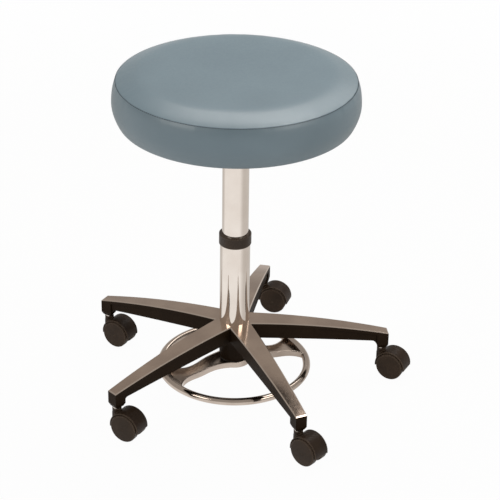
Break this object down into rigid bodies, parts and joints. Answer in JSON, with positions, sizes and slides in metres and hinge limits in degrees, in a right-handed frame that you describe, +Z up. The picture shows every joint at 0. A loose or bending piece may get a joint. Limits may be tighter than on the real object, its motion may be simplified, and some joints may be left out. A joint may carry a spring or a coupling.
{
  "type": "foot-operated stool",
  "caption": "Foot-operated stool: round padded seat on a swivelling gas-lift column, released by tilting a foot ring under a star base on swivel casters.",
  "frame": {"origin": "on the floor, on the column's axis", "axes": "+Z up along the column, -Y along the leg that points nearest the viewer, on the right of the picture; +X to that side's right"},
  "size_m": [0.5495, 0.5336, 0.5795],
  "materials": {
    "seat_vinyl": "satin",
    "board_wood": "matte",
    "cover_cloth": "matte",
    "plate_steel": "satin",
    "fastener_steel": "satin",
    "tube_chrome": "polished",
    "collar_nylon": "satin",
    "cylinder_steel": "satin",
    "guide_nylon": "matte",
    "rod_steel": "polished",
    "base_aluminium": "satin",
    "ring_chrome": "polished",
    "retainer_steel": "satin",
    "stem_steel": "satin",
    "hood_nylon": "satin",
    "axle_steel": "satin",
    "wheel_nylon": "satin"
  },
  "bodies": {
    "base": {"star_base": "base_aluminium", "column_tube": "tube_chrome", "column_collar": "collar_nylon", "column_plug": "plate_steel", "thrust_washer": "guide_nylon", "ring_retainer": "retainer_steel", "retainer_screws": "fastener_steel", "caster_stems": "stem_steel"},
    "rod": {"piston_rod": "rod_steel", "piston": "guide_nylon", "rod_clip": "fastener_steel"},
    "seat": {"gas_cylinder": "cylinder_steel", "rod_guide": "guide_nylon", "stem_tube": "tube_chrome", "slide_bush": "collar_nylon", "seat_socket": "plate_steel", "seat_plate": "plate_steel", "plate_bolts": "fastener_steel", "tee_nuts": "fastener_steel", "dust_cover": "cover_cloth", "seat_board": "board_wood", "seat_cushion": "seat_vinyl"},
    "pin": {"release_pin": "rod_steel"},
    "ring": {"foot_ring": "ring_chrome", "rocker_stud": "rod_steel", "rocker_screw": "fastener_steel"},
    "caster_1": {"caster_1_hood": "hood_nylon", "caster_1_axle": "axle_steel"},
    "caster_1_left": {"caster_1_left_wheel": "wheel_nylon"},
    "caster_1_right": {"caster_1_right_wheel": "wheel_nylon"},
    "caster_2": {"caster_2_hood": "hood_nylon", "caster_2_axle": "axle_steel"},
    "caster_2_left": {"caster_2_left_wheel": "wheel_nylon"},
    "caster_2_right": {"caster_2_right_wheel": "wheel_nylon"},
    "caster_3": {"caster_3_hood": "hood_nylon", "caster_3_axle": "axle_steel"},
    "caster_3_left": {"caster_3_left_wheel": "wheel_nylon"},
    "caster_3_right": {"caster_3_right_wheel": "wheel_nylon"},
    "caster_4": {"caster_4_hood": "hood_nylon", "caster_4_axle": "axle_steel"},
    "caster_4_left": {"caster_4_left_wheel": "wheel_nylon"},
    "caster_4_right": {"caster_4_right_wheel": "wheel_nylon"},
    "caster_5": {"caster_5_hood": "hood_nylon", "caster_5_axle": "axle_steel"},
    "caster_5_left": {"caster_5_left_wheel": "wheel_nylon"},
    "caster_5_right": {"caster_5_right_wheel": "wheel_nylon"}
  },
  "joints": [
    {"name": "seat_swivel", "type": "hinge", "parent": "base", "child": "rod", "pos_m": [0, 0, 0.3], "axis": [0, 0, 1], "continuous": true},
    {"name": "seat_lift", "type": "slide", "parent": "rod", "child": "seat", "axis": [0, 0, 1], "range_m": [-0.13, 0]},
    {"name": "ring_tilt", "type": "hinge", "parent": "base", "child": "ring", "pos_m": [0, -0.0165, 0.05], "axis": [1, 0, 0], "range_deg": [0, 7], "stiffness_Nm_per_rad": 20},
    {"name": "pin_lift", "type": "slide", "parent": "rod", "child": "pin", "axis": [0, 0, 1], "range_m": [0, 0.0021]},
    {"name": "caster_1_swivel", "type": "hinge", "parent": "base", "child": "caster_1", "pos_m": [0, -0.2585, 0.05], "axis": [0, 0, 1], "continuous": true},
    {"name": "caster_1_left_spin", "type": "hinge", "parent": "caster_1", "child": "caster_1_left", "pos_m": [0.00923, -0.27924, 0.02425], "axis": [0.9135, 0.4067, 0], "continuous": true},
    {"name": "caster_1_right_spin", "type": "hinge", "parent": "caster_1", "child": "caster_1_right", "pos_m": [0.00923, -0.27924, 0.02425], "axis": [0.9135, 0.4067, 0], "continuous": true},
    {"name": "caster_2_swivel", "type": "hinge", "parent": "base", "child": "caster_2", "pos_m": [0.24585, -0.07988, 0.05], "axis": [0, 0, 1], "continuous": true},
    {"name": "caster_2_left_spin", "type": "hinge", "parent": "caster_2", "child": "caster_2_left", "pos_m": [0.25982, -0.09777, 0.02425], "axis": [0.788, 0.6157, 0], "continuous": true},
    {"name": "caster_2_right_spin", "type": "hinge", "parent": "caster_2", "child": "caster_2_right", "pos_m": [0.25982, -0.09777, 0.02425], "axis": [0.788, 0.6157, 0], "continuous": true},
    {"name": "caster_3_swivel", "type": "hinge", "parent": "base", "child": "caster_3", "pos_m": [0.15194, 0.20913, 0.05], "axis": [0, 0, 1], "continuous": true},
    {"name": "caster_3_left_spin", "type": "hinge", "parent": "caster_3", "child": "caster_3_left", "pos_m": [0.16881, 0.19394, 0.02425], "axis": [0.6691, 0.7431, 0], "continuous": true},
    {"name": "caster_3_right_spin", "type": "hinge", "parent": "caster_3", "child": "caster_3_right", "pos_m": [0.16881, 0.19394, 0.02425], "axis": [0.6691, 0.7431, 0], "continuous": true},
    {"name": "caster_4_swivel", "type": "hinge", "parent": "base", "child": "caster_4", "pos_m": [-0.15194, 0.20913, 0.05], "axis": [0, 0, 1], "continuous": true},
    {"name": "caster_4_left_spin", "type": "hinge", "parent": "caster_4", "child": "caster_4_left", "pos_m": [-0.13925, 0.19031, 0.02425], "axis": [0.829, 0.5592, 0], "continuous": true},
    {"name": "caster_4_right_spin", "type": "hinge", "parent": "caster_4", "child": "caster_4_right", "pos_m": [-0.13925, 0.19031, 0.02425], "axis": [0.829, 0.5592, 0], "continuous": true},
    {"name": "caster_5_swivel", "type": "hinge", "parent": "base", "child": "caster_5", "pos_m": [-0.24585, -0.07988, 0.05], "axis": [0, 0, 1], "continuous": true},
    {"name": "caster_5_left_spin", "type": "hinge", "parent": "caster_5", "child": "caster_5_left", "pos_m": [-0.23283, -0.09848, 0.02425], "axis": [0.8192, 0.5736, 0], "continuous": true},
    {"name": "caster_5_right_spin", "type": "hinge", "parent": "caster_5", "child": "caster_5_right", "pos_m": [-0.23283, -0.09848, 0.02425], "axis": [0.8192, 0.5736, 0], "continuous": true}
  ],
  "couplings": [
    {"joint": "pin_lift", "follows": "ring_tilt", "m_per_rad": 0.0165}
  ]
}
